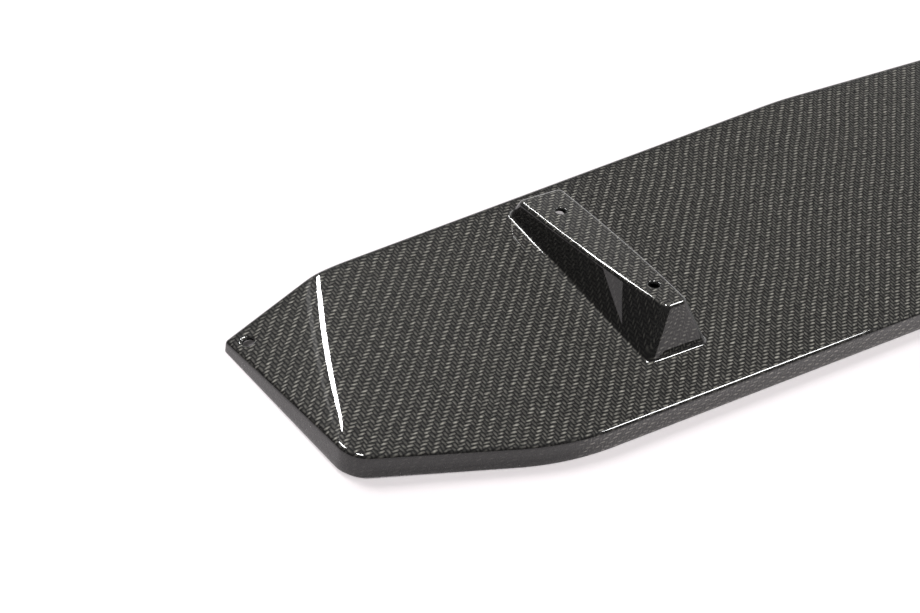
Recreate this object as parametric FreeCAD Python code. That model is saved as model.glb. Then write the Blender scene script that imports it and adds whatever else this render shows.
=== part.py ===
import FreeCAD, Part
import os
from math import atan, cos, radians, sin, tan
from FreeCAD import Vector

os.makedirs("parts", exist_ok=True)

# Sizes in millimetres and degrees.
# The panel is drawn flat: X across the car from its centre plane,
# Y towards the front of the car, Z off the panel.

# laminate
wall = 2.2

# plan of one half
half_width = 540.5
crease_start = 63.2
fold_start = 4.0
end_depth = 122.6
end_toe = 2.47
corner_run = 101.3
rear_depth = 159.8
forward_sweep = 4.66
tip_sweep = 13.2
straight_middle = 140.0
tip_radius = 2.5
end_radius = 15.0
corner_radius = 150.0
middle_radius = 300.0
crease_radius = 200.0

# folded end and turned-down edge
fold = 17.3
fold_radius = 28.0
flange_height = 13.5
tip_flange_height = 5.6
rim_radius = 2.4

# mounting boss
boss_from_end = 194.9
boss_forward_width = 31.0
boss_rear_width = 40.0
boss_length = 129.4
boss_forward_reach = -0.3
boss_height = 26.5
boss_forward_draft = 4.0
boss_rear_draft = 27.0
boss_end_draft = 22.0
boss_corner_radius = 4.0
boss_foot_radius = 2.0
boss_top_radius = 2.5
panel_slope = 6.7

# holes
boss_hole_diameter = 6.2
boss_hole_spacing = 77.9
boss_hole_rear_margin = 28.4
tip_hole_diameter = 6.0
tip_hole_from_end = 8.1
tip_hole_from_edge = 10.1

# room left beyond the panel by the solids that trim it
spare = 40.0


def rounded_wire(corners, radii, insets):
    """Closed flat outline: each side moved inwards by its inset, each corner rounded."""
    count = len(corners)
    sides = []
    for i in range(count):
        a = corners[i]
        b = corners[(i + 1) % count]
        along = (b - a).normalize()
        inward = Vector(-along.y, along.x, 0)
        sides.append((a + inward * insets[i], along))
    points = []
    for i in range(count):
        a, d = sides[i - 1]
        b, e = sides[i]
        cross = d.x * e.y - d.y * e.x
        run = ((b.x - a.x) * e.y - (b.y - a.y) * e.x) / cross
        points.append(a + d * run)
    starts = []
    ends = []
    middles = []
    for i in range(count):
        d = sides[i - 1][1]
        e = sides[i][1]
        turn = d.getAngle(e)
        radius = radii[i]
        back = radius * tan(turn / 2)
        start = points[i] - d * back
        end = points[i] + e * back
        centre = start + Vector(-d.y, d.x, 0) * radius
        middle = centre
        if radius > 0:
            middle = centre + (points[i] - centre).normalize() * radius
        starts.append(start)
        ends.append(end)
        middles.append(middle)
    edges = []
    for i in range(count):
        if radii[i] > 0:
            edges.append(Part.Arc(starts[i], middles[i], ends[i]).toShape())
        edges.append(Part.makeLine(ends[i], starts[(i + 1) % count]))
    return Part.Wire(edges)


# Plan of the left half, corner by corner, going round with the panel on the left hand
end_x = -half_width
crease_point = Vector(end_x + crease_start, 0, 0)
tip = Vector(end_x, -crease_start * tan(radians(tip_sweep)), 0)
end_corner = Vector(end_x + (end_depth + tip.y) * tan(radians(end_toe)), -end_depth, 0)
rear_corner = Vector(end_corner.x + corner_run, -rear_depth, 0)
rear_middle = Vector(0, -rear_depth, 0)
sweep_rise = (half_width - crease_start - straight_middle) * tan(radians(forward_sweep))
forward_middle = Vector(0, sweep_rise, 0)
sweep_end = Vector(-straight_middle, sweep_rise, 0)
plan = [tip, end_corner, rear_corner, rear_middle, forward_middle, sweep_end, crease_point]


def plan_wire(inset):
    ends = [tip_radius - inset, end_radius - inset, corner_radius - inset]
    radii = ends + [0, 0, middle_radius - inset, crease_radius - inset]
    insets = [inset, inset, inset, 0, inset, inset, inset]
    return rounded_wire(plan, radii, insets)


# Fold line from the forward edge to the end corner, and the square distance outboard of it
fold_point = crease_point + (tip - crease_point).normalize() * fold_start
fold_line = (end_corner - fold_point).normalize()
outboard = Vector(fold_line.y, -fold_line.x, 0)
tip_reach = (tip - fold_point).dot(outboard)
tip_drop = tip_reach * tan(radians(fold))
trim = atan((tip_drop + tip_flange_height - flange_height) / tip_reach)


def folded_slab(inset, depth):
    """Bent section square to the fold line, drawn out along it, its top face lowered by the inset."""
    angle = radians(fold)
    centre_run = -fold_radius * tan(angle / 2)
    radius = fold_radius - inset
    inner_reach = 2 * half_width
    outer_reach = tip_reach + spare
    along = outer_reach - (centre_run + radius * sin(angle))

    def at(run, height):
        return fold_point + outboard * run + Vector(0, 0, height)

    main_end = at(-inner_reach, -inset)
    bend_start = at(centre_run, -inset)
    bend_middle = at(centre_run + radius * sin(angle / 2), radius * cos(angle / 2) - fold_radius)
    bend_end = at(centre_run + radius * sin(angle), radius * cos(angle) - fold_radius)
    facet_end = at(outer_reach, radius * cos(angle) - fold_radius - along * tan(angle))
    low_outer = at(outer_reach, -flange_height - outer_reach * tan(trim) - depth)
    low_fold = at(0, -flange_height - depth)
    low_main = at(-inner_reach, -flange_height - depth)
    edges = [
        Part.makeLine(main_end, bend_start),
        Part.Arc(bend_start, bend_middle, bend_end).toShape(),
        Part.makeLine(bend_end, facet_end),
        Part.makeLine(facet_end, low_outer),
        Part.makeLine(low_outer, low_fold),
        Part.makeLine(low_fold, low_main),
        Part.makeLine(low_main, main_end),
    ]
    face = Part.Face(Part.Wire(edges))
    face.translate(fold_line * -2 * half_width)
    return face.extrude(fold_line * 4 * half_width)


def half_panel(inset, depth):
    low = flange_height + tip_drop + spare + depth
    prism = Part.Face(plan_wire(inset)).extrude(Vector(0, 0, low + spare))
    prism.translate(Vector(0, 0, -low))
    return prism.common(folded_slab(inset, depth))


def mirrored(shape):
    return shape.mirror(Vector(0, 0, 0), Vector(1, 0, 0))


def whole(shape):
    return shape.fuse(mirrored(shape)).removeSplitter()


# Boss with drafted walls, its top cut level with the car
boss_x = end_x + boss_from_end
boss_forward = boss_forward_reach
boss_rear = boss_forward_reach - boss_length


def top_height(y):
    return boss_height + (y - boss_rear) * -tan(radians(panel_slope))


def edges_near(shape, test):
    """Edges whose middle point passes the test."""
    found = []
    for edge in shape.Edges:
        middle = edge.valueAt((edge.FirstParameter + edge.LastParameter) / 2)
        if test(middle):
            found.append(edge)
    return found


def boss_corner(width, draft, end, toward_rear, inset, side):
    """Foot of one corner edge of the boss, and how far the edge leans for each millimetre of height."""
    half = width / 2 - inset / cos(radians(draft))
    foot = Vector(boss_x + side * half, end + toward_rear * -inset / cos(radians(boss_end_draft)), 0)
    lean = Vector(-side * tan(radians(draft)), toward_rear * -tan(radians(boss_end_draft)), 1)
    return foot, lean


def boss_solid(inset):
    """Block with drafted walls ruled from its foot to its level top, moved in by the inset."""
    low = -2 * wall
    drop = inset / cos(radians(panel_slope))
    fall = -tan(radians(panel_slope))
    corners = [
        boss_corner(boss_forward_width, boss_forward_draft, boss_forward, 1, inset, 1),
        boss_corner(boss_forward_width, boss_forward_draft, boss_forward, 1, inset, -1),
        boss_corner(boss_rear_width, boss_rear_draft, boss_rear, -1, inset, -1),
        boss_corner(boss_rear_width, boss_rear_draft, boss_rear, -1, inset, 1),
    ]
    feet = []
    tops = []
    for foot, lean in corners:
        feet.append(foot + lean * low)
        rise = (top_height(foot.y) - drop) / (1 - fall * lean.y)
        tops.append(foot + lean * rise)
    foot_wire = Part.makePolygon(feet + feet[:1])
    top_wire = Part.makePolygon(tops + tops[:1])
    block = Part.makeLoft([foot_wire, top_wire], True, True)

    def on_corner(point):
        return abs(point.z - low) > 0.01 and abs(point.z - top_height(point.y) + drop) > 0.01

    return block.makeFillet(boss_corner_radius - inset, edges_near(block, on_corner))


def on_rim(point):
    """True on the outline, at the edge between the top face and the turned-down wall."""
    near = Part.Vertex(Vector(point.x, point.y, 0)).distToShape(outline)[0] < 0.01
    run = (Vector(point.x, point.y, 0) - fold_point).dot(outboard)
    lowest_top = -max(0, run) * tan(radians(fold)) - fold_radius * (1 / cos(radians(fold) / 2) - 1)
    return near and point.z > lowest_top - 0.5 and abs(point.x) > 0.01


def on_boss(point):
    across = abs(point.x - boss_x) < boss_rear_width / 2 + 0.01
    return across and boss_rear - 0.01 < point.y < boss_forward + 0.01


def on_foot(point):
    return on_boss(point) and abs(point.z) < 0.01


def on_inner_foot(point):
    return on_boss(point) and abs(point.z + wall) < 0.01


def on_boss_top(point):
    return on_boss(point) and abs(point.z - top_height(point.y)) < 0.01 and point.z > 1


outline = plan_wire(0)
outer = half_panel(0, 0)
outer = outer.makeFillet(rim_radius, edges_near(outer, on_rim))
outer = outer.fuse(boss_solid(0)).removeSplitter()
outer = outer.makeFillet(boss_foot_radius, edges_near(outer, on_foot))
outer = outer.makeFillet(boss_top_radius, edges_near(outer, on_boss_top))

inner = half_panel(wall, spare)
inner = inner.fuse(boss_solid(wall)).removeSplitter()
inner = inner.makeFillet(boss_foot_radius + wall, edges_near(inner, on_inner_foot))
shell = outer.cut(inner)


def drilled(shape, centre, axis, diameter):
    """Round hole through the wall at a point of its outer face."""
    drill = Part.makeCylinder(diameter / 2, 4 * wall, centre - axis * 3 * wall, axis)
    return shape.cut(drill)


# Two holes in the top of the boss, square to it
slope = radians(panel_slope)
car_up = Vector(0, sin(slope), cos(slope))
hole_y = boss_rear + boss_hole_rear_margin
for place in range(2):
    y = hole_y + place * boss_hole_spacing * cos(slope)
    centre = Vector(boss_x, y, top_height(y))
    shell = drilled(shell, centre, car_up, boss_hole_diameter)

# One hole in the folded end, square to it
facet_up = Vector(0, 0, cos(radians(fold))) + outboard * sin(radians(fold))
tip_hole_x = end_x + tip_hole_from_end
tip_hole_y = tip.y + tip_hole_from_end * tan(radians(tip_sweep)) - tip_hole_from_edge
flat_place = Vector(tip_hole_x, tip_hole_y, 0)
tip_hole_run = (flat_place - fold_point).dot(outboard)
tip_hole = flat_place - Vector(0, 0, tip_hole_run * tan(radians(fold)))
shell = drilled(shell, tip_hole, facet_up, tip_hole_diameter)

# Both halves in one moulding, turned so that the boss tops lie level, standing on the ground plane
body = whole(shell)
body.rotate(Vector(0, 0, 0), Vector(1, 0, 0), panel_slope)
box = body.optimalBoundingBox(False, False)
body.translate(Vector(-box.Center.x, -box.Center.y, -box.ZMin))
body.exportStep("parts/valance_panel.step")
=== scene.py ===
# %% [markdown]
# # A carbon-fibre rear valance
# The part is one thin laminate: cloth laid into a mould, wetted with resin and clear coated.
# Its solid comes in as a fixed frame. This lesson lays a finer skin over that solid,
# with the cloth's own coordinates on it, so that the weave runs over the folds and edges
# as real cloth does.

from math import cos, pi, radians, sin, tan

import bmesh
import bpy
import numpy as np
from mathutils import Matrix, Vector


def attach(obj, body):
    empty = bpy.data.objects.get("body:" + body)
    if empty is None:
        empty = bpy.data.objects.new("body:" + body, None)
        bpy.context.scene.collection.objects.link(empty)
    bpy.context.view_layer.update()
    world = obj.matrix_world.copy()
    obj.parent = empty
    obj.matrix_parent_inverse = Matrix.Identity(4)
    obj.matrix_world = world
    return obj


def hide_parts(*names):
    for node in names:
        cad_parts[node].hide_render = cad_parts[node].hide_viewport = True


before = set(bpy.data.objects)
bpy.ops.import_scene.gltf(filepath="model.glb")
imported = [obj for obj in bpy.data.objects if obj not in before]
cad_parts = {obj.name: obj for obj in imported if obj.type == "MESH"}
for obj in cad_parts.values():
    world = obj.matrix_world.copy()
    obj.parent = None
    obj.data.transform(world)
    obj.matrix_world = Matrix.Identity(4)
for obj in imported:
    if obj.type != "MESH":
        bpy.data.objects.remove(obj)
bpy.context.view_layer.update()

# %% [markdown]
# ## Sizes
# The skin has to sit exactly on the solid, so it repeats the solid's sizes, in millimetres and degrees.
# The panel is drawn flat: X across the car, Y towards its front, Z off the panel.
# Only the left half is drawn. The last two sizes are the scene's own: the width of one tow of the cloth,
# and the width of the narrow row of faces that ends each arc of the boss.

# %% Sizes of the moulding
wall = 2.2
half_width = 540.5
crease_start = 63.2
fold_start = 4.0
fold_bow = 3.0
end_depth = 122.6
end_toe = 2.47
corner_run = 101.3
rear_depth = 159.8
forward_sweep = 4.66
tip_sweep = 13.2
straight_middle = 140.0
tip_radius = 2.5
end_radius = 15.0
corner_radius = 150.0
middle_radius = 300.0
crease_radius = 200.0
fold = radians(17.3)
fold_radius = 28.0
flange_height = 13.5
tip_flange_height = 5.6
rim_radius = 2.4
boss_from_end = 194.9
boss_front_width = 31.0
boss_rear_width = 40.0
boss_length = 129.4
boss_forward = -0.3
boss_height = 26.5
boss_front_draft = radians(4.0)
boss_rear_draft = radians(27.0)
boss_end_draft = radians(22.0)
boss_corner_radius = 4.0
boss_foot_radius = 2.0
boss_top_radius = 2.5
panel_slope = radians(6.7)
boss_hole_radius = 3.1
boss_hole_spacing = 77.9
boss_hole_rear_margin = 28.4
tip_hole_radius = 3.0
tip_hole_from_end = 8.1
tip_hole_from_edge = 10.1
tow = 2.0
arc_margin = 0.12

# %% Corners of the plan, left half
end_x = -half_width
crease_point = np.array([end_x + crease_start, 0.0])
tip = np.array([end_x, -crease_start * tan(radians(tip_sweep))])
end_corner = np.array([end_x + (end_depth + tip[1]) * tan(radians(end_toe)), -end_depth])
rear_corner = np.array([end_corner[0] + corner_run, -rear_depth])
sweep_rise = (half_width - crease_start - straight_middle) * tan(radians(forward_sweep))
plan_corners = [
    np.array([0.0, sweep_rise]),
    np.array([-straight_middle, sweep_rise]),
    crease_point,
    tip,
    end_corner,
    rear_corner,
    np.array([0.0, -rear_depth]),
]
plan_radii = [middle_radius, crease_radius, tip_radius, end_radius, corner_radius]
print("half plan has", len(plan_corners), "corners; depth", round(rear_depth + sweep_rise, 1), "mm")

# %% [markdown]
# ## The outline as a path
# A path of straight runs and tangent arcs is turned into a dense line of points, each with its direction.
# Points are then picked from it by weight: each millimetre of run counts a little,
# and each degree of turn counts more. That puts many points round the corners and few along
# the straights, with no list of points by hand.

# %% Path with rounded corners
run_points = 400
arc_points = 201


def rounded_path(corners, radii):
    """Points and directions along straight runs joined by arcs.
    An arc of radius r at a corner that turns by angle t starts r tan(t / 2) before the corner."""
    points, headings, arc_middles = [], [], []
    start = corners[0]
    run = np.linspace(0, 1, run_points)[:, None]
    for k in range(1, len(corners) - 1):
        before = (corners[k] - corners[k - 1]) / np.linalg.norm(corners[k] - corners[k - 1])
        after = (corners[k + 1] - corners[k]) / np.linalg.norm(corners[k + 1] - corners[k])
        heading = np.arctan2(before[1], before[0])
        turn = np.arctan2(before[0] * after[1] - before[1] * after[0], before @ after)
        radius = radii[k - 1]
        arc_start = corners[k] - before * radius * tan(abs(turn) / 2)
        points.append(start + (arc_start - start) * run)
        headings.append(np.full(run_points, heading))
        side = np.sign(turn)
        centre = arc_start + side * radius * np.array([-before[1], before[0]])
        angle = heading + turn * np.linspace(0, 1, arc_points)
        points.append(centre + side * radius * np.stack([np.sin(angle), -np.cos(angle)], 1))
        headings.append(angle)
        arc_middles.append(sum(map(len, points)) - (arc_points + 1) // 2)
        start = points[-1][-1]
    points.append(start + (corners[-1] - start) * run)
    last = corners[-1] - start
    headings.append(np.full(run_points, np.arctan2(last[1], last[0])))
    angle = np.unwrap(np.concatenate(headings))
    return np.concatenate(points), np.stack([np.cos(angle), np.sin(angle)], 1), arc_middles


def pick(points, directions, count, run_step, turn_step):
    """Evenly weighted samples: weight = length / run_step + turning / turn_step."""
    length = np.linalg.norm(np.diff(points, axis=0), axis=1)
    turning = np.degrees(np.arccos(np.clip((directions[1:] * directions[:-1]).sum(1), -1, 1)))
    weight = length / run_step + turning / turn_step
    total = np.concatenate([[0], np.cumsum(weight)])
    keep = np.concatenate([[True], np.diff(total) > 1e-12])
    at = np.linspace(0, total[-1], count + 1)
    chosen = [np.interp(at, total[keep], column[keep]) for column in (*points.T, *directions.T)]
    place, heading = np.stack(chosen[:2], 1), np.stack(chosen[2:], 1)
    return place, heading / np.linalg.norm(heading, axis=1, keepdims=True)


outline, outline_heading, arc_middles = rounded_path(plan_corners, plan_radii)
tip_at, end_at = arc_middles[2], arc_middles[3]
print("outline drawn with", len(outline), "points")

# %% [markdown]
# ## The folded top
# Seen along the fold line, the top face is flat, then an arc, then flat again at the fold angle.
# One function of the distance from the fold line gives the height, the slope and the length of cloth
# that is used up.

# %% Height of the top face and of the cut edge
fold_point = crease_point + fold_start * (tip - crease_point) / np.linalg.norm(tip - crease_point)
fold_length = np.linalg.norm(end_corner - fold_point)
fold_line = (end_corner - fold_point) / fold_length
outboard = np.array([fold_line[1], -fold_line[0]])
tip_reach = (tip - fold_point) @ outboard
tip_drop = tip_reach * tan(fold)
trim = (tip_drop + tip_flange_height - flange_height) / tip_reach


def fold_reach(plan):
    """Square distance outboard of the fold.
    The fold bows outboard by 4 b t (1 - t) along its run t from 0 to 1."""
    run = np.clip((plan - fold_point) @ fold_line / fold_length, 0, 1)
    return (plan - fold_point) @ outboard - 4 * fold_bow * run * (1 - run)


def fold_section(reach):
    """Height and cloth length at a square distance from the fold line.
    On the arc the angle is asin((reach + t) / R) with t = R tan(fold / 2),
    and the height is R (cos(angle) - 1)."""
    lead = fold_radius * tan(fold / 2)
    arc_end = fold_radius * sin(fold) - lead
    angle = np.arcsin(np.clip((reach + lead) / fold_radius, 0, sin(fold)))
    past = np.maximum(reach - arc_end, 0)
    height = fold_radius * (np.cos(angle) - 1) - past * tan(fold)
    flat = np.minimum(reach, -lead)
    length = flat + fold_radius * angle + past / cos(fold)
    return height, length


def lifted(plan):
    """Plan points with the height of the top face: (x, y) becomes (x, y, z)."""
    return np.concatenate([plan, fold_section(fold_reach(plan))[0][..., None]], -1)


def cloth_at(plan):
    """Cloth coordinates on the top face: the plan, stretched outboard by what the fold uses up."""
    reach = fold_reach(plan)
    return plan + (fold_section(reach)[1] - reach)[..., None] * outboard


# %% [markdown]
# ## Patches
# Every patch is a grid of points with cloth coordinates. All are kept in one list
# and joined into one mesh at the end. Quads are made from the grid's indices as whole arrays.

# %% Patch list
patches = []


def add_patch(points, cloth, keep=None):
    """Adds a grid of points (m, n, 3) as quads. keep masks the cells that stay."""
    m, n = points.shape[:2]
    index = np.arange(m * n).reshape(m, n)
    cells = np.stack([index[:-1, :-1], index[1:, :-1], index[1:, 1:], index[:-1, 1:]], -1)
    quads = cells[keep] if keep is not None else cells.reshape(-1, 4)
    patches.append((points.reshape(-1, 3), quads, cloth.reshape(-1, 2)))


def corner_arc(corner, down, inward, radius, steps):
    """Arc of a given radius that is tangent to two directions leaving a corner,
    all in a plane (distance, height). The tangent points lie r / tan(w / 2) from the corner,
    where w is the angle between the directions."""
    angle = np.arccos(np.clip((down * inward).sum(-1), -1, 1))
    first = corner + down * (radius / np.tan(angle / 2))[:, None]
    middle = down + inward
    middle = middle / np.linalg.norm(middle, axis=1, keepdims=True)
    centre = corner + middle * (radius / np.sin(angle / 2))[:, None]
    last = corner + inward * (radius / np.tan(angle / 2))[:, None]
    swept = (pi - angle)[:, None, None]
    part = np.linspace(0, 1, steps)[None, :, None]
    from_first = np.sin((1 - part) * swept) * (first - centre)[:, None]
    from_last = np.sin(part * swept) * (last - centre)[:, None]
    return centre[:, None] + (from_first + from_last) / np.sin(swept)


# %% [markdown]
# ## Sampling the outline
# The top face is filled as one patch with four sides: the car's centre line, the forward edge,
# the end and the rear edge. Opposite sides need the same number of points,
# so each long side is cut at the same X on either side of the boss.

# %% Points of the four sides
boss_x = end_x + boss_from_end
boss_rear = boss_forward - boss_length
boss_cut = 24.0
cut_right, cut_left = boss_x + boss_cut, boss_x - boss_cut
beside_count, boss_count, end_count = 46, 10, 44
long_step, end_step, turn_step = 9.0, 3.0, 6.0
forward_side = slice(0, tip_at + 1)
end_side = slice(tip_at, end_at + 1)
rear_side = slice(end_at, len(outline))


def side_pieces(points, directions):
    """A long side in three pieces, from the centre line outwards, cut at the boss."""
    near, far = np.searchsorted(-points[:, 0], [-cut_right, -cut_left])
    pieces = ((0, near, beside_count), (near, far, boss_count), (far, len(points), beside_count))
    places, headings = [], []
    for first, last, count in pieces:
        part = slice(first, min(last + 1, len(points)))
        place, heading = pick(points[part], directions[part], count, long_step, turn_step)
        skip = 0 if first == 0 else 1
        places.append(place[skip:])
        headings.append(heading[skip:])
    return np.concatenate(places), np.concatenate(headings)


forward, forward_heading = side_pieces(outline[forward_side], outline_heading[forward_side])
rear, rear_heading = side_pieces(outline[rear_side][::-1], outline_heading[rear_side][::-1])
end, end_heading = pick(outline[end_side], outline_heading[end_side], end_count, end_step, turn_step)
ring = np.concatenate([forward, end[1:], rear[::-1][1:]])
ring_heading = np.concatenate([forward_heading, end_heading[1:], rear_heading[::-1][1:]])
print("outline ring has", len(ring), "points")

# %% [markdown]
# ## The turned-down edge
# A profile of wall and rounded rim is carried along the outline.
# Where the top face falls away outwards, the rim's arc is shorter,
# so the profile is worked out for each point of the outline from the slope there.
# The rim's last row is set on the top face itself, so that the two meet without a gap.

# %% Rim and wall
rim_wall_rows = 4
rim_arc_rows = 9


def rim_band(plan, heading):
    """Wall and rim carried along the outline. Rows run from the cut edge up the wall and over the rim.
    Returns the rows of points, their cloth coordinates and the inner ends of the rim in plan."""
    outward = np.stack([heading[:, 1], -heading[:, 0]], 1)
    reach = (plan - fold_point) @ outboard
    height = lifted(plan)[:, 2]
    inner_height = lifted(plan - outward * rim_radius)[:, 2]
    fall = np.arctan((inner_height - height) / rim_radius)
    low = -flange_height - np.maximum(reach, 0) * trim
    corner = np.stack([np.zeros_like(height), height], 1)
    down = np.tile([0.0, -1.0], (len(plan), 1))
    inward = np.stack([-np.cos(fall), np.sin(fall)], 1)
    arc = corner_arc(corner, down, inward, np.full(len(plan), rim_radius), rim_arc_rows)
    rows = np.linspace(0, 1, rim_wall_rows + 1)[:-1]
    wall_z = low[:, None] + (arc[:, 0, 1] - low)[:, None] * rows
    wall_rows = np.stack([np.zeros_like(wall_z), wall_z], -1)
    profile = np.concatenate([wall_rows, arc], 1)
    flat = plan[:, None] + outward[:, None] * profile[..., :1]
    points = np.concatenate([flat, profile[..., 1:]], -1)
    points[:, -1] = lifted(flat[:, -1])
    steps = np.linalg.norm(np.diff(profile, axis=1), axis=2)
    run = np.concatenate([np.cumsum(steps[:, ::-1], 1)[:, ::-1], np.zeros((len(plan), 1))], 1)
    cloth = cloth_at(flat[:, -1])[:, None] + outward[:, None] * run[..., None]
    return points, cloth, flat[:, -1]


band, band_cloth, band_inner = rim_band(ring, ring_heading)
add_patch(band, band_cloth)
print("rim band", band.shape[:2])


# %% [markdown]
# ## The top face
# A Coons patch blends four sides into a grid: the two long sides, plus the two short sides,
# minus the flat blend of the four corners.
# It is done in plan, and the fold then gives each point its height.


# %% Top face in plan
def coons(low_side, high_side, first_side, last_side):
    """Grid between four sides: u runs from first_side to last_side, v from low_side to high_side."""
    u = np.linspace(0, 1, len(low_side))[:, None, None]
    v = np.linspace(0, 1, len(first_side))[None, :, None]
    long_blend = (1 - v) * low_side[:, None] + v * high_side[:, None]
    short_blend = (1 - u) * first_side[None] + u * last_side[None]
    first_corners = (1 - v) * low_side[0] + v * high_side[0]
    last_corners = (1 - v) * low_side[-1] + v * high_side[-1]
    return long_blend + short_blend - ((1 - u) * first_corners + u * last_corners)


count_long, count_short = len(forward), len(end)
inner_forward = band_inner[:count_long]
inner_end = band_inner[count_long - 1:count_long + count_short - 1]
inner_rear = band_inner[count_long + count_short - 2:][::-1]
down_line = np.linspace(0, 1, count_short)[:, None]
centre_line = inner_forward[0] * (1 - down_line) + inner_rear[0] * down_line
field = coons(inner_forward, inner_rear, centre_line, inner_end)
print("top face grid", field.shape[:2])

# %% [markdown]
# ## Openings in a grid
# A hole is made by leaving out a block of cells and filling the gap between the block's border
# and the hole. A circle needs more points than the border has,
# so each border edge meets three steps of the circle in one six-sided face.
# The face lies flat, so its shape costs nothing in the shading.
# A filled ring ends in a narrow row, which keeps the shading of the arc beyond it off the flat face.

# %% Blocks and rings
circle_split = 3
narrow_row = 0.97


def block_border(grid, block):
    """Points round a block of cells, in order, starting at its low corner."""
    i0, i1, j0, j1 = block
    sides = (grid[i0:i1, j0], grid[i1, j0:j1], grid[i1:i0:-1, j1], grid[i0, j1:j0:-1])
    return np.concatenate(sides)


def block_round(grid, centre, half_x, half_y):
    """Smallest block of cells that holds a box round a centre, within the grid."""
    inside = (np.abs(grid[..., 0] - centre[0]) < half_x) & (np.abs(grid[..., 1] - centre[1]) < half_y)
    rows, columns = np.where(inside)
    last_row, last_column = grid.shape[0] - 1, grid.shape[1] - 1
    low = max(rows.min() - 1, 0), max(columns.min() - 1, 0)
    high = min(rows.max() + 1, last_row), min(columns.max() + 1, last_column)
    return low[0], high[0], low[1], high[1]


def closed(loop):
    """The loop with its first point again at the end."""
    return np.concatenate([loop, loop[:1]])


def ring_between(outer, inner, rows):
    """Grid of straight lines from each outer point to its inner point, with a narrow last row."""
    part = np.append(np.linspace(0, 1, rows + 1)[:-1], [narrow_row, 1.0])[None, :, None]
    return closed(outer)[:, None] * (1 - part) + closed(inner)[:, None] * part


def cell_mask(grid, blocks):
    """True for the cells of a grid that lie in none of the blocks."""
    keep = np.ones((grid.shape[0] - 1, grid.shape[1] - 1), bool)
    for i0, i1, j0, j1 in blocks:
        keep[i0:i1, j0:j1] = False
    return keep


def add_round_hole(grid, centre, radius, lip, half, lift, cloth):
    """Fills a block round a centre up to a circle: six-sided faces to a wider circle,
    then quads to the hole. The circle's points take the border's angles,
    with two more steps between each pair. Returns the block."""
    block = block_round(grid, centre, half, half)
    border = block_border(grid, block)
    angle = np.unwrap(np.arctan2(border[:, 1] - centre[1], border[:, 0] - centre[0]))
    turn = 2 * pi * np.sign(angle[-1] - angle[0])
    count = len(border)
    angle = np.append(angle, angle[0] + turn)
    fine = np.interp(np.arange(count * circle_split) / circle_split, np.arange(count + 1), angle)
    spoke = np.stack([np.cos(fine), np.sin(fine)], 1)
    rings = centre + spoke[:, None] * (radius + np.array([2 * lip, lip, 0.0]))[None, :, None]
    add_patch(lift(closed(rings)), cloth(closed(rings)))
    plan = np.concatenate([border, rings[:, 0]])
    first = np.arange(count)
    fan = count + (first[:, None] * circle_split + np.arange(circle_split + 1)) % (count * circle_split)
    faces = np.concatenate([first[:, None], fan, ((first + 1) % count)[:, None]], 1)
    patches.append((lift(plan), faces[:, ::-1], cloth(plan)))
    return block


# %% Tip hole
tip_lip, tip_half = 1.25, 5.6
tip_hole_x = end_x + tip_hole_from_end
tip_hole_y = tip[1] + tip_hole_from_end * tan(radians(tip_sweep)) - tip_hole_from_edge
tip_hole = np.array([tip_hole_x, tip_hole_y])
tip_block = add_round_hole(field, tip_hole, tip_hole_radius, tip_lip, tip_half, lifted, cloth_at)
print("tip hole takes out cells", tip_block)

# %% [markdown]
# ## The boss
# The boss is a wedge with drafted walls, level on top, with soft arcs at its foot and top edges.
# Its walls are a loop that shrinks with height: each point of the loop moves in at a steady rate.
# The foot arc, the wall and the top arc are one profile carried round that loop.
# Narrow rows beside the arcs keep the arcs' shading off the flat walls.

# %% Boss loop
side_room, end_room = 4, 5
half_arc = 3
boss_middle = np.array([boss_x, (boss_forward + boss_rear) / 2])
boss_block = block_round(field, boss_middle, boss_rear_width / 2 + side_room, boss_length / 2 + end_room)
across = boss_block[1] - boss_block[0]
along = boss_block[3] - boss_block[2]
boss_border = block_border(field, boss_block)
print("boss takes out", across, "by", along, "cells")


def side_samples(count):
    """One side of the loop in count steps: half a corner arc, the straight run, half the next corner arc.
    Gives the share of the run covered and the angle turned, both from the middle of the first arc."""
    straight = count - 2 * half_arc
    bend = np.arange(half_arc) / half_arc
    share = np.concatenate([np.zeros(half_arc), np.arange(straight) / straight, np.ones(half_arc)])
    turned = np.concatenate([bend, np.ones(straight), 1 + bend])
    return share, turned * pi / 4


def boss_loop(height):
    """Rounded rectangle of the walls at a height, counter-clockwise from its right forward corner.
    Each point is a blend of two corner centres plus the corner radius along the outward direction."""
    front_side = boss_front_width / 2 - height * tan(boss_front_draft) - boss_corner_radius
    rear_side = boss_rear_width / 2 - height * tan(boss_rear_draft) - boss_corner_radius
    front = boss_forward - height * tan(boss_end_draft) - boss_corner_radius
    back = boss_rear + height * tan(boss_end_draft) + boss_corner_radius
    front_corners = [[front_side, front], [-front_side, front]]
    back_corners = [[-rear_side, back], [rear_side, back]]
    corners = np.array(front_corners + back_corners) + [boss_x, 0]
    places, outwards = [], []
    for k, count in enumerate((across, along, across, along)):
        share, turned = side_samples(count)
        angle = pi / 4 + k * pi / 2 + turned
        outward = np.stack([np.cos(angle), np.sin(angle)], 1)
        centre = corners[k] * (1 - share[:, None]) + corners[(k + 1) % 4] * share[:, None]
        places.append(centre + boss_corner_radius * outward)
        outwards.append(outward)
    return np.concatenate(places), np.concatenate(outwards)


foot_loop, boss_outward = boss_loop(0.0)
drift = boss_loop(1.0)[0] - foot_loop
print("boss loop", len(foot_loop), "border", len(boss_border))

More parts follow.
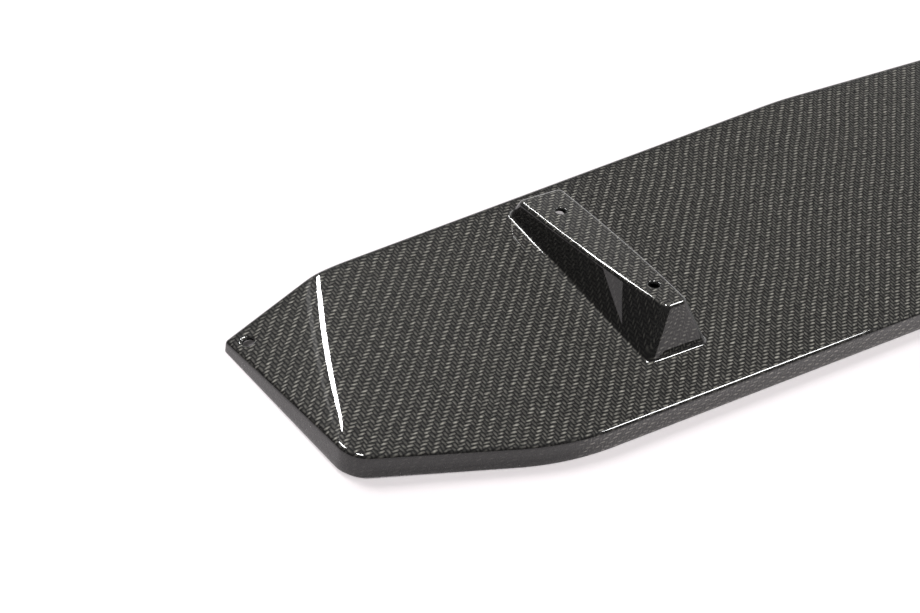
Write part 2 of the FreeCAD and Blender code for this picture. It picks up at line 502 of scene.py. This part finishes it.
# %% Profile of the boss wall at each point of the loop
foot_rows, top_rows = 8, 9
wall_shares = np.array([0.02, 0.18, 0.34, 0.5, 0.66, 0.82, 0.98])[None, :, None]
loop_count = len(foot_loop)
lean = -(drift * boss_outward).sum(1)
level_slope = -tan(panel_slope)
top_z = (boss_height + level_slope * (foot_loop[:, 1] - boss_rear)) / (1 - level_slope * drift[:, 1])
wall_down = np.stack([lean, -np.ones_like(lean)], 1) / np.sqrt(1 + lean ** 2)[:, None]
top_in = np.stack([-np.ones_like(lean), -level_slope * boss_outward[:, 1]], 1)
top_in = top_in / np.linalg.norm(top_in, axis=1, keepdims=True)
panel_out = np.tile([1.0, 0.0], (loop_count, 1))
foot_corner = np.zeros((loop_count, 2))
foot_radii = np.full(loop_count, boss_foot_radius)
foot_arc = corner_arc(foot_corner, panel_out, -wall_down, foot_radii, foot_rows)
top_corner = np.stack([-lean * top_z, top_z], 1)
top_radii = np.full(loop_count, boss_top_radius)
top_arc = corner_arc(top_corner, wall_down, top_in, top_radii, top_rows)
wall_rows = foot_arc[:, -1:] * (1 - wall_shares) + top_arc[:, :1] * wall_shares
top_margin = top_arc[:, -1:] + arc_margin * top_in[:, None]
boss_profile = np.concatenate([foot_arc, wall_rows, top_arc, top_margin], 1)

# %% Boss walls
rise = boss_profile[..., 1:]
off_wall = boss_profile[..., :1] + lean[:, None, None] * rise
boss_flat = foot_loop[:, None] + drift[:, None] * rise + boss_outward[:, None] * off_wall
boss_grid = np.concatenate([boss_flat, rise], -1)
row_steps = np.linalg.norm(np.diff(boss_grid, axis=1), axis=2)
climb = np.concatenate([np.zeros((loop_count, 1)), np.cumsum(row_steps, 1)], 1)
boss_cloth = boss_flat[:, :1] - boss_outward[:, None] * climb[..., None]
add_patch(closed(boss_grid), closed(boss_cloth))
print("boss walls", boss_grid.shape[:2], "height", round(float(top_z.max()), 1))

# %% Panel round the boss
boss_ring_rows = 4
boss_ring = ring_between(boss_border, boss_flat[:, 0], boss_ring_rows)
add_patch(lifted(boss_ring), cloth_at(boss_ring))
add_patch(lifted(field), cloth_at(field), cell_mask(field, (boss_block, tip_block)))

# %% Boss top with its two holes
boss_lip, boss_half = 0.65, 4.6
top_loop = boss_grid[:, -1]
front_edge = closed(top_loop)[:across + 1]
left_edge = top_loop[across:across + along + 1]
back_edge = top_loop[across + along:2 * across + along + 1][::-1]
right_edge = closed(top_loop)[2 * across + along:][::-1]
cap = coons(front_edge[:, :2], back_edge[:, :2], right_edge[:, :2], left_edge[:, :2])


def level_top(plan):
    """Plan points with the height of the boss's level top."""
    height = boss_height + level_slope * (plan[..., 1:] - boss_rear)
    return np.concatenate([plan, height], -1)


rear_hole_y = boss_rear + boss_hole_rear_margin
front_hole_y = rear_hole_y + boss_hole_spacing * cos(panel_slope)
boss_holes = np.array([[boss_x, rear_hole_y], [boss_x, front_hole_y]])
cap_blocks = []
for hole in boss_holes:
    block = add_round_hole(cap, hole, boss_hole_radius, boss_lip, boss_half, level_top, np.array)
    cap_blocks.append(block)
add_patch(level_top(cap), cap, cell_mask(cap, cap_blocks))
print("boss top", cap.shape[:2], cap_blocks)

# %% [markdown]
# ## One mesh from the patches
# The half is mirrored, turned so that the boss tops lie level and set down where the solid stands.
# The patches meet at equal points, so merging them by distance closes the skin.
# Solidify then gives the laminate its even wall, its cut edges and the walls of its holes.


# %% Join, mirror and place
def joined(sign):
    """Points, faces and cloth coordinates of all patches.
    They are mirrored across the centre plane when sign is -1."""
    points, faces, cloth = [], [], []
    start = 0
    for patch_points, patch_faces, patch_cloth in patches:
        points.append(patch_points * [sign, 1, 1])
        cloth.append(patch_cloth * [sign, 1])
        faces.extend((patch_faces[:, ::sign] + start).tolist())
        start += len(patch_points)
    return np.concatenate(points), faces, np.concatenate(cloth)


left, left_faces, left_cloth = joined(1)
right, right_faces, right_cloth = joined(-1)
skin_points = np.concatenate([left, right])
skin_faces = left_faces + [[index + len(left) for index in face] for face in right_faces]
skin_cloth = np.concatenate([left_cloth, right_cloth])
slope_cos, slope_sin = cos(panel_slope), sin(panel_slope)
tilt = np.array([[1, 0, 0], [0, slope_cos, -slope_sin], [0, slope_sin, slope_cos]])
tilted_points = skin_points @ tilt.T
box_middle = (tilted_points.min(0) + tilted_points.max(0)) / 2
stand = np.array([box_middle[0], box_middle[1], tilted_points[:, 2].min()])
placed = (tilted_points - stand) / 1000
print("skin", len(placed), "points", len(skin_faces), "faces", placed.min(0), placed.max(0))

# %% Skin object
merge_distance = 5e-6
skin_mesh = bpy.data.meshes.new("valance_skin")
skin_mesh.from_pydata(placed, [], skin_faces)
cloth_map = skin_mesh.uv_layers.new(name="cloth")
tow_counts = skin_cloth[np.concatenate(skin_faces)] / tow
cloth_map.data.foreach_set("uv", tow_counts.astype(np.float32).ravel())
seams = bmesh.new()
seams.from_mesh(skin_mesh)
bmesh.ops.remove_doubles(seams, verts=seams.verts, dist=merge_distance)
unused = [point for point in seams.verts if not point.link_faces]
bmesh.ops.delete(seams, geom=unused, context="VERTS")
open_edges = sum(edge.is_boundary for edge in seams.edges)
seams.to_mesh(skin_mesh)
seams.free()
skin = bpy.data.objects.new("valance_skin", skin_mesh)
bpy.context.scene.collection.objects.link(skin)
print("merged to", len(skin_mesh.vertices), "points, open edges", open_edges)

# %% Wall thickness
laminate = skin.modifiers.new("laminate", "SOLIDIFY")
laminate.thickness = wall / 1000
laminate.offset = -1
laminate.use_even_offset = True
laminate.material_offset = 1
laminate.material_offset_rim = 2

# %% [markdown]
# ## Three finishes on one laminate
# The top face lay against the polished mould and has a clear coat.
# The underside was pressed by a vacuum bag, so its resin is dull and uneven.
# Cut edges and drilled holes show raw fibre ends. Solidify puts each finish on its own faces,
# because it adds an offset to the material number of the faces that it makes.

# %% Finish slots
coated_face = bpy.data.materials.new("coated_face")
bag_side = bpy.data.materials.new("bag_side")
cut_edge = bpy.data.materials.new("cut_edge")
for finish in (coated_face, bag_side, cut_edge):
    finish.use_nodes = True
    skin_mesh.materials.append(finish)

# %% [markdown]
# ## Broken edges
# A trimmed laminate has its sharp edges rubbed down, and the clear coat runs over the edge of each hole.
# An edge counts as sharp when one of its two faces was trimmed and the angle between them is large.
# That is worked out for all edges at once, and each sharp edge gets a weight for the Bevel modifier:
# the full one at the top of the tip holes, a smaller one at the top of the boss holes
# and the smallest on all other cut edges.

# %% Apply the wall
trimmed_slot = 2
graph = bpy.context.evaluated_depsgraph_get()
shell_mesh = bpy.data.meshes.new_from_object(skin.evaluated_get(graph))
skin.modifiers.clear()
skin.data = shell_mesh


def point_rows(mesh, name):
    """One row of three numbers for each point of a mesh: its place (co) or the way it faces (normal)."""
    rows = np.empty(len(mesh.vertices) * 3, np.float32)
    mesh.vertices.foreach_get(name, rows)
    return rows.reshape(-1, 3)


def edge_faces(mesh):
    """Angle between the two faces at each edge of a closed mesh, from the dot product of their normals,
    and whether one of them is a trimmed face, which Solidify has put on the third material."""
    loop_edge = np.empty(len(mesh.loops), np.int32)
    mesh.loops.foreach_get("edge_index", loop_edge)
    loop_total = np.empty(len(mesh.polygons), np.int32)
    mesh.polygons.foreach_get("loop_total", loop_total)
    normal = np.empty(len(mesh.polygons) * 3, np.float32)
    mesh.polygons.foreach_get("normal", normal)
    face = np.repeat(np.arange(len(loop_total)), loop_total)
    pairs = face[np.argsort(loop_edge, kind="stable")].reshape(-1, 2)
    first, second = normal.reshape(-1, 3)[pairs].transpose(1, 0, 2)
    finish_number = np.empty(len(mesh.polygons), np.int32)
    mesh.polygons.foreach_get("material_index", finish_number)
    trimmed = (finish_number[pairs] == trimmed_slot).any(1)
    return np.degrees(np.arccos(np.clip((first * second).sum(1), -1, 1))), trimmed


def edge_middles(mesh):
    """Middle of each edge, in millimetres."""
    ends = np.empty(len(mesh.edges) * 2, np.int32)
    mesh.edges.foreach_get("vertices", ends)
    return point_rows(mesh, "co")[ends.reshape(-1, 2)].mean(1) * 1000


# %% Weights for the bevel
sharp_angle = 40
hole_reach = 3.5
tip_zone = 30
tip_weight, boss_weight, cut_weight = 1.0, 0.45, 0.28
bend, trimmed = edge_faces(shell_mesh)
sharp = trimmed & (bend > sharp_angle)
middles = edge_middles(shell_mesh)
hole_tops = np.concatenate([lifted(tip_hole[None]), level_top(boss_holes)])
hole_places = (hole_tops @ tilt.T - stand)[None]
left_middles = np.stack([-np.abs(middles[:, 0]), middles[:, 1], middles[:, 2]], 1)
gap = np.linalg.norm(left_middles[:, None] - hole_places, axis=2).min(1)
hole_top = sharp & (gap < hole_reach)
tip_top = hole_top & (np.abs(middles[:, 0]) > half_width - tip_zone)
weight = np.select([tip_top, hole_top, sharp], [tip_weight, boss_weight, cut_weight], 0.0)
weights = shell_mesh.attributes.new("bevel_weight_edge", "FLOAT", "EDGE")
weights.data.foreach_set("value", weight.astype(np.float32))
print("sharp edges", int(sharp.sum()), "of them at hole tops", int(hole_top.sum()))

# %% Bevel
crease_angle = radians(38)
rub = skin.modifiers.new("rubbed_edges", "BEVEL")
rub.limit_method = "WEIGHT"
rub.width = 0.0011
rub.segments = 3
rub.use_clamp_overlap = False
graph = bpy.context.evaluated_depsgraph_get()
solid_mesh = bpy.data.meshes.new_from_object(skin.evaluated_get(graph))
skin.modifiers.clear()
skin.data = solid_mesh
solid_mesh.polygons.foreach_set("use_smooth", np.ones(len(solid_mesh.polygons), bool))
solid_mesh.set_sharp_from_angle(angle=crease_angle)
print("laminate has", len(solid_mesh.polygons), "faces")

# %% [markdown]
# ## Where the painted glint shows
# The glint of the weave is painted into the base colour, and one number for each point says how much of it
# is painted there, worked out from its place and from the way it faces.
# Faces turned up keep the full painted glint, walls that face the rear squarely keep much of it, and other
# steep walls keep little, as if less light fell on them.
# Along the forward edge the painted glint fades out over a narrow strip, which leaves a dark smooth band.

# %% Share of the painted glint at each point
edge_fade_width, edge_fade_full, edge_fade_depth = 5.0, 1.25, 0.85
steep, steep_range = 0.55, 0.35
sideways, sideways_range = 0.16, 0.08
rearward, rearward_range = 0.9, 0.03
upright, upright_gain, leaning_gain = 0.1, 1.35, 0.6
faint = 0.14
surface = point_rows(solid_mesh, "co")
way_out = point_rows(solid_mesh, "normal")
flat_surface = (surface * 1000 + stand) @ tilt
edge_y = np.interp(np.abs(flat_surface[:, 0]), -forward[:, 0], forward[:, 1])
# Painted glint fades out over a 5 mm strip along the forward edge.
edge_fade = np.clip(edge_fade_full - (edge_y - flat_surface[:, 1]) / edge_fade_width, 0, 1)
# Painted lit and shaded sides: the painted glint is full on faces turned up, large on walls facing the rear
# squarely, small on other steep walls.
facing_up = np.clip((np.abs(way_out[:, 2]) - steep) / steep_range, 0, 1)
square_on = np.clip((sideways - np.abs(way_out[:, 0])) / sideways_range, 0, 1)
facing_rear = square_on * np.clip((-way_out[:, 1] - rearward) / rearward_range, 0, 1)
rear_gain = np.where(way_out[:, 2] < upright, upright_gain, leaning_gain)
facing = np.maximum(facing_up, rear_gain * facing_rear)
painted_glint_left = (1 - edge_fade_depth * edge_fade) * (faint + (1 - faint) * facing)
glint_values = solid_mesh.attributes.new("painted_glint_share", "FLOAT", "POINT")
glint_values.data.foreach_set("value", painted_glint_left.astype(np.float32))
print("glint left: least", round(float(painted_glint_left.min()), 3), "most", round(float(painted_glint_left.max()), 3))

# %% Tie the skin to the frame
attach(skin, "root")
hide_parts("valance_panel")

# %% [markdown]
# ## Woven cloth as a node group
# The cloth is a two-by-two twill: each tow goes over two and under two,
# one step further along at each row, which draws diagonal lines.
# With the cloth coordinates counted in tows, whole numbers name the tows,
# and the fractions say where a point lies across and along the piece of tow that shows.


# %% Small node helpers
def plug(tree, socket, value):
    """Links an output to a socket, or sets a plain number on it."""
    if isinstance(value, bpy.types.NodeSocket):
        tree.links.new(value, socket)
    else:
        socket.default_value = value


def maths(tree, operation, *values):
    """One Math node, for example add or floor."""
    node = tree.nodes.new("ShaderNodeMath")
    node.operation = operation
    for socket, value in zip(node.inputs, values):
        plug(tree, socket, value)
    return node.outputs[0]


def scaled(tree, value, gain, start):
    """start + gain * value."""
    return maths(tree, "ADD", start, maths(tree, "MULTIPLY", value, gain))


def between(tree, share, low, high):
    """low where share is 0, high where it is 1."""
    node = tree.nodes.new("ShaderNodeMix")
    for index, value in ((0, share), (2, low), (3, high)):
        plug(tree, node.inputs[index], value)
    return node.outputs[0]


def tint(tree, share, low, high):
    """Colour low where share is 0, colour high where it is 1."""
    node = tree.nodes.new("ShaderNodeMix")
    node.data_type = "RGBA"
    for index, value in ((0, share), (6, low), (7, high)):
        plug(tree, node.inputs[index], value)
    return node.outputs[2]


def cloud(tree, place, scale, detail):
    """Soft noise over a place, about 0 to 1."""
    node = tree.nodes.new("ShaderNodeTexNoise")
    node.inputs["Scale"].default_value = scale
    node.inputs["Detail"].default_value = detail
    tree.links.new(place, node.inputs["Vector"])
    return node


# %% Twill group
drift_scale, wobble_scale, wobble_size = 0.022, 0.55, 0.6
twill = bpy.data.node_groups.new("twill_cloth", "ShaderNodeTree")
twill.interface.new_socket("Cloth", in_out="INPUT", socket_type="NodeSocketVector")
twill.interface.new_socket("Waviness", in_out="INPUT", socket_type="NodeSocketFloat")
for name in ("Crosswise", "Height", "Glint", "Fibre", "Tow Tone"):
    twill.interface.new_socket(name, in_out="OUTPUT", socket_type="NodeSocketFloat")
given = twill.nodes.new("NodeGroupInput")
result = twill.nodes.new("NodeGroupOutput")
drift_noise = cloud(twill, given.outputs["Cloth"], drift_scale, 1.0)
drift_parts = twill.nodes.new("ShaderNodeSeparateColor")
twill.links.new(drift_noise.outputs["Color"], drift_parts.inputs[0])
wobble_noise = cloud(twill, given.outputs["Cloth"], wobble_scale, 1.0)
wobble_parts = twill.nodes.new("ShaderNodeSeparateColor")
twill.links.new(wobble_noise.outputs["Color"], wobble_parts.inputs[0])
cloth_parts = twill.nodes.new("ShaderNodeSeparateXYZ")
twill.links.new(given.outputs["Cloth"], cloth_parts.inputs[0])
laid = []
for axis in range(2):
    drifted = maths(twill, "SUBTRACT", drift_parts.outputs[axis], 0.5)
    sway = maths(twill, "MULTIPLY", drifted, given.outputs["Waviness"])
    wobbled = maths(twill, "SUBTRACT", wobble_parts.outputs[axis], 0.5)
    wobble = maths(twill, "MULTIPLY", wobbled, wobble_size)
    laid.append(maths(twill, "ADD", cloth_parts.outputs[axis], maths(twill, "ADD", sway, wobble)))
cell = [maths(twill, "FLOOR", value) for value in laid]
inside = [maths(twill, "FRACT", value) for value in laid]

# %% Which tow shows, and where on it
hump_low, hump_rise = 0.35, 0.65
step = maths(twill, "FLOORED_MODULO", maths(twill, "SUBTRACT", cell[0], cell[1]), 4.0)
along_car = maths(twill, "LESS_THAN", step, 1.5)
across_tow = between(twill, along_car, inside[1], inside[0])
start_u = maths(twill, "SUBTRACT", step, 2.0)
start_v = maths(twill, "SUBTRACT", 1.0, step)
run_u = maths(twill, "MULTIPLY", maths(twill, "ADD", start_u, inside[0]), 0.5)
run_v = maths(twill, "MULTIPLY", maths(twill, "ADD", start_v, inside[1]), 0.5)
along_tow = between(twill, along_car, run_u, run_v)
crown = maths(twill, "SINE", maths(twill, "MULTIPLY", across_tow, pi))
hump = maths(twill, "SINE", maths(twill, "MULTIPLY", along_tow, pi))
swell = scaled(twill, hump, hump_rise, hump_low)
height = maths(twill, "MULTIPLY", maths(twill, "POWER", crown, 0.5), swell)
# Glint is a painted highlight for the base colour: a bright streak along the crown and middle of each tow.
glint = maths(twill, "MULTIPLY", maths(twill, "POWER", crown, 3.0), maths(twill, "POWER", hump, 0.9))

# %% Fibres in a tow and the tone of each tow
fibres_across, fibre_stretch = 7.0, 0.8
tow_shift, step_shift = 13.7, 5.3
tone_scale = 0.75
tow_number = between(twill, along_car, cell[1], cell[0])
streak_place = twill.nodes.new("ShaderNodeCombineXYZ")
fibre_place = maths(twill, "MULTIPLY", across_tow, fibres_across)
tow_place = maths(twill, "MULTIPLY", tow_number, tow_shift)
plug(twill, streak_place.inputs[0], maths(twill, "ADD", fibre_place, tow_place))
plug(twill, streak_place.inputs[1], maths(twill, "MULTIPLY", along_tow, fibre_stretch))
plug(twill, streak_place.inputs[2], maths(twill, "MULTIPLY", step, step_shift))
streak = cloud(twill, streak_place.outputs[0], 1.0, 1.0)
tone = cloud(twill, given.outputs["Cloth"], tone_scale, 2.0)
crosswise = maths(twill, "SUBTRACT", 1.0, along_car)
made = (crosswise, height, glint, streak.outputs["Fac"], tone.outputs["Fac"])
for socket, value in zip(result.inputs, made):
    twill.links.new(value, socket)
print("twill group has", len(twill.nodes), "nodes")


# %% [markdown]
# ## Clear-coated face
# Carbon fibre is a dark thread that glints along its length. Here that glint is painted into the base
# colour: tows that run across the car are painted bright and tows that run along it dim.
# The painted glint is scaled by the share worked out for each point,
# so it fades out along the forward edge and is faint on most steep walls.
# A smooth clear coat lies over the threads and mirrors the studio.
# The weave's bump goes to the layer below, and the coat stays level.


# %% Cloth for a finish
def cloth_on(material, waviness):
    """The material's shader and its twill group, read on the cloth's own coordinates."""
    tree = material.node_tree
    shader = tree.nodes["Principled BSDF"]
    lay = tree.nodes.new("ShaderNodeUVMap")
    lay.uv_map = "cloth"
    weave = tree.nodes.new("ShaderNodeGroup")
    weave.node_tree = twill
    weave.inputs["Waviness"].default_value = waviness
    tree.links.new(lay.outputs["UV"], weave.inputs["Cloth"])
    return tree, shader, lay, weave


def add_relief(tree, shader, height, strength):
    """Bump of the weave on the layer below the coat."""
    relief = tree.nodes.new("ShaderNodeBump")
    relief.inputs["Strength"].default_value = strength
    relief.inputs["Distance"].default_value = 0.0003
    tree.links.new(height, relief.inputs["Height"])
    tree.links.new(relief.outputs["Normal"], shader.inputs["Normal"])


# %% Coated face
lengthwise_glint = 0.38
fibre_low, fibre_gain = 0.55, 0.9
tone_start, tone_gain, tone_least = 0.25, 2.4, 0.1
dark_thread = (0.0092, 0.009, 0.009, 1)
# Colour of a thread where its painted glint is full.
painted_glint_colour = (0.32, 0.307, 0.272, 1)
tree, shader, lay, weave = cloth_on(coated_face, 2.5)
# Painted glint: bright on tows across the car, dimmer on tows along it, scaled by the painted glint share
# and mixed from the dark thread colour to the painted glint colour.
bright = maths(tree, "MULTIPLY", weave.outputs["Crosswise"], weave.outputs["Glint"])
dim = maths(tree, "MULTIPLY", weave.outputs["Glint"], lengthwise_glint)
painted_shine = maths(tree, "MAXIMUM", bright, dim)
fibres = scaled(tree, weave.outputs["Fibre"], fibre_gain, fibre_low)
lively = maths(tree, "MULTIPLY", painted_shine, fibres)
tone_over = maths(tree, "SUBTRACT", weave.outputs["Tow Tone"], tone_start)
uneven = maths(tree, "MULTIPLY", tone_over, tone_gain)
toned = maths(tree, "MULTIPLY", lively, maths(tree, "MAXIMUM", uneven, tone_least))
painted_glint_share = tree.nodes.new("ShaderNodeAttribute")
painted_glint_share.attribute_name = "painted_glint_share"
shown = maths(tree, "MULTIPLY", toned, painted_glint_share.outputs["Fac"])
thread = tint(tree, shown, dark_thread, painted_glint_colour)
tree.links.new(thread, shader.inputs["Base Color"])
shader.inputs["Roughness"].default_value = 0.45
shader.inputs["Specular IOR Level"].default_value = 0.05
shader.inputs["Coat Weight"].default_value = 1.0
shader.inputs["Coat Roughness"].default_value = 0.02
add_relief(tree, shader, weave.outputs["Height"], 0.35)

# %% Bag side
bag_dark = (0.008, 0.008, 0.008, 1)
bag_painted_glint = (0.035, 0.034, 0.032, 1)
pool_scale, dull_low, dull_range = 0.12, 0.32, 0.4
tree, shader, lay, weave = cloth_on(bag_side, 5.0)
# The weave's glint is painted into the underside's base colour too, from the dark colour to the painted
# glint colour.
thread = tint(tree, weave.outputs["Glint"], bag_dark, bag_painted_glint)
tree.links.new(thread, shader.inputs["Base Color"])
pool = cloud(tree, lay.outputs["UV"], pool_scale, 3.0)
dullness = scaled(tree, pool.outputs["Fac"], dull_range, dull_low)
tree.links.new(dullness, shader.inputs["Roughness"])
bag_height = maths(tree, "ADD", weave.outputs["Height"], pool.outputs["Fac"])
add_relief(tree, shader, bag_height, 0.6)

# %% Cut edge
speck_scale = 900.0
fibre_dark = (0.006, 0.006, 0.006, 1)
fibre_pale = (0.05, 0.05, 0.05, 1)
tree = cut_edge.node_tree
shader = tree.nodes["Principled BSDF"]
on_part = tree.nodes.new("ShaderNodeTexCoord")
speck = cloud(tree, on_part.outputs["Object"], speck_scale, 2.0)
raw = tint(tree, speck.outputs["Fac"], fibre_dark, fibre_pale)
tree.links.new(raw, shader.inputs["Base Color"])
shader.inputs["Roughness"].default_value = 0.55

# %% [markdown]
# ## Camera
# The camera stands off the left rear corner and looks down on the part.
# Its place was found from the weave's perspective.

# %% Camera
camera_place = Vector((-0.93551, -0.63223, 0.58607))
camera_target = Vector((-0.42816, 0.01164, 0.02520))
camera_roll = radians(6.154)
lens = bpy.data.cameras.new("photo_camera")
lens.lens = 77.15
lens.sensor_width = 36
camera = bpy.data.objects.new("photo_camera", lens)
level = (camera_target - camera_place).to_track_quat("-Z", "Y").to_matrix().to_4x4()
camera.matrix_world = Matrix.Translation(camera_place) @ level @ Matrix.Rotation(camera_roll, 4, "Z")
bpy.context.scene.collection.objects.link(camera)
bpy.context.scene.camera = camera

# %% [markdown]
# ## Studio
# The part lies on white paper. The part keeps its own frame, so the paper is the one that tilts:
# it touches the rear edge and the lowest point ahead of it, as if the part had come to rest.
# One soft sun lights only the part and two light only the paper, so each can be set by itself.
# What a clear coat shows is mostly the room, so the room is dark overhead, with a glow low on the far side,
# and oval light boxes stand where the fold, the boss edges and the near rim mirror them to the camera.
# The boxes are seen only as reflections.

# %% Floor
floor_reach = 40.0
floor_gap = 0.0002
least_run = 0.05
paper_colour = (0.93, 0.88, 0.895, 1)
rest_y = surface[surface[:, 2].argmin(), 1]
ahead = surface[surface[:, 1] > rest_y + least_run]
rest_slope = float((ahead[:, 2] / (ahead[:, 1] - rest_y)).min())
print("paper rises", round(np.degrees(np.arctan(rest_slope)), 2), "degrees towards the front of the car")
floor_low = (-floor_reach - rest_y) * rest_slope - floor_gap
floor_high = (floor_reach - rest_y) * rest_slope - floor_gap
floor_corners = [
    (-floor_reach, -floor_reach, floor_low),
    (floor_reach, -floor_reach, floor_low),
    (floor_reach, floor_reach, floor_high),
    (-floor_reach, floor_reach, floor_high),
]
floor_mesh = bpy.data.meshes.new("floor")
floor_mesh.from_pydata(floor_corners, [], [(0, 1, 2, 3)])
floor = bpy.data.objects.new("floor", floor_mesh)
bpy.context.scene.collection.objects.link(floor)
paper = bpy.data.materials.new("paper")
paper.use_nodes = True
paper_shader = paper.node_tree.nodes["Principled BSDF"]
paper_shader.inputs["Base Color"].default_value = paper_colour
paper_shader.inputs["Roughness"].default_value = 0.9
paper_shader.inputs["Specular IOR Level"].default_value = 0.0
floor_mesh.materials.append(paper)

# %% Room
room_glow = 0.03
bpy.context.scene.view_settings.view_transform = "Standard"
world = bpy.data.worlds.new("studio")
world.use_nodes = True
room = world.node_tree
way = room.nodes.new("ShaderNodeTexCoord")
way_parts = room.nodes.new("ShaderNodeSeparateXYZ")
room.links.new(way.outputs["Generated"], way_parts.inputs[0])


def smooth_band(value, start, end, at_start, at_end):
    """Smooth step of a value: at_start up to start, at_end from end on."""
    node = room.nodes.new("ShaderNodeMapRange")
    node.interpolation_type = "SMOOTHSTEP"
    limits = {"From Min": start, "From Max": end, "To Min": at_start, "To Max": at_end}
    for name, limit in limits.items():
        node.inputs[name].default_value = limit
    room.links.new(value, node.inputs["Value"])
    return node.outputs["Result"]


low_glow = smooth_band(way_parts.outputs["Z"], 0.30, 0.60, 1.0, 0.0)
far_side = maths(room, "ADD", way_parts.outputs["X"], way_parts.outputs["Y"])
far_glow = smooth_band(far_side, 0.2, 1.0, 0.0, 1.3)
glow = maths(room, "MULTIPLY", low_glow, far_glow)
room.links.new(maths(room, "ADD", glow, room_glow), room.nodes["Background"].inputs["Strength"])
room.nodes["Background"].inputs["Color"].default_value = (1, 1, 1, 1)
bpy.context.scene.world = world

# %% Lamps
box_distance = 2.0
lit_part = bpy.data.collections.new("lit_part")
lit_part.objects.link(skin)
lit_floor = bpy.data.collections.new("lit_floor")
lit_floor.objects.link(floor)


def add_lamp(name, kind, place, target, energy, receivers):
    """A lamp at a place, turned to a target, that lights only the objects of one collection."""
    light = bpy.data.lights.new(name, kind)
    light.energy = energy
    lamp = bpy.data.objects.new(name, light)
    lamp.location = place
    lamp.rotation_euler = (Vector(target) - Vector(place)).to_track_quat("-Z", "Y").to_euler()
    lamp.light_linking.receiver_collection = receivers
    bpy.context.scene.collection.objects.link(lamp)
    return lamp


def sky_way(azimuth, elevation):
    """Direction from the part to a place in the room, from its bearing and height in degrees."""
    a, e = radians(azimuth), radians(elevation)
    return Vector((cos(a) * cos(e), sin(a) * cos(e), sin(e)))


def add_sun(name, azimuth, elevation, energy, spread, receivers):
    """A sun in a direction, made soft by its spread in degrees."""
    sun = add_lamp(name, "SUN", sky_way(azimuth, elevation), (0, 0, 0), energy, receivers)
    sun.data.angle = radians(spread)


def add_box(name, aimed_at, azimuth, elevation, width, height, energy):
    """An oval light box in the direction where a bent edge mirrors it to the camera."""
    place = aimed_at + sky_way(azimuth, elevation) * box_distance
    box = add_lamp(name, "AREA", place, aimed_at, energy, lit_part)
    box.data.shape = "ELLIPSE"
    box.data.size = width
    box.data.size_y = height
    box.visible_diffuse = False


# %% Suns and light boxes
fold_spot = Vector((-0.508, 0.003, 0.0236))
boss_spot = Vector((-0.35, -0.02, 0.03))
add_sun("soft_key", -120, 84, 4.6, 12, lit_part)
add_sun("paper_light", -150, 42, 3.3, 20, lit_floor)
add_sun("paper_back", 115, 62, 1.35, 26, lit_floor)
add_box("fold_box", fold_spot, 64, 47.9, 0.17, 0.385, 13.6)
add_box("fold_veil", fold_spot, 78, 47.0, 0.1, 0.5, 0.12)
add_box("side_box", boss_spot, 94, 56.2, 0.4, 0.22, 15.4)
add_box("rim_box", boss_spot, -32, 46, 0.8, 0.3, 32.0)
